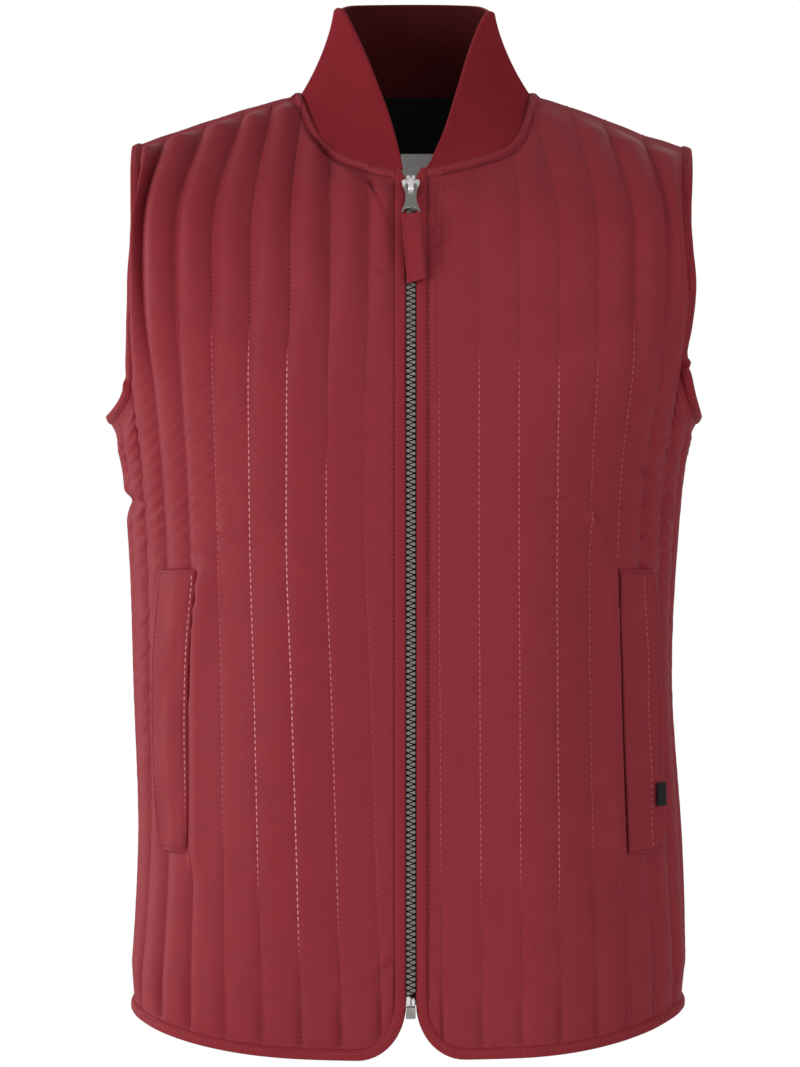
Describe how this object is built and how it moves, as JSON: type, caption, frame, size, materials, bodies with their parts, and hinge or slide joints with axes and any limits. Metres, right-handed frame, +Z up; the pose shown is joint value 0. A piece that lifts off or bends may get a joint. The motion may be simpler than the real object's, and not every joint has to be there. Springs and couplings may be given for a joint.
{
  "type": "quilted thermal vest",
  "caption": "Sleeveless channel-quilted vest with a rib-knit stand collar, front zip with a fabric pull and slanted welt pockets, filled out as worn.",
  "frame": {"origin": "in the middle of the hollow between the shoulder points, level with the highest points of the shoulder seams, where a wearer's shoulders carry it", "axes": "+Z up, +X towards the wearer's left, -Y towards the front with the zip"},
  "size_m": [0.3945, 0.2497, 0.6934],
  "materials": {
    "shell": "fine woven satin-like polyester, bordeaux red, softly shining",
    "binding": "the same woven shell cloth, folded as binding",
    "rib_knit": "matt fine rib knit, bordeaux red",
    "black_label": "black woven, plain",
    "pale_label": "pale satin weave, plain",
    "zip_tape": "dark red woven tape",
    "zip_metal": "grey plated metal",
    "dark_metal": "gunmetal, satin"
  },
  "bodies": {
    "vest": {"front_right": "shell", "front_left": "shell", "back": "shell", "back_yoke": "shell", "collar": "rib_knit", "edge_right": "binding", "edge_left": "binding", "hem_back": "binding", "armhole_right": "binding", "armhole_left": "binding", "pocket_right": "shell", "pocket_left": "shell", "pocket_label": "black_label", "neck_label": "pale_label", "zip_tape_right": "zip_tape", "zip_tape_left": "zip_tape", "zip_chain": "zip_metal", "zip_stop_right": "zip_metal", "zip_stop_left": "zip_metal", "zip_box": "zip_metal", "zip_slider": "zip_metal"},
    "zip_pull": {"zip_puller": "dark_metal", "pull_tab": "binding"}
  },
  "joints": [
    {"name": "zip_pull_hinge", "type": "hinge", "parent": "vest", "child": "zip_pull", "pos_m": [0, -0.0989, -0.06731], "axis": [-1, 0, 0], "range_deg": [0, 140]}
  ]
}
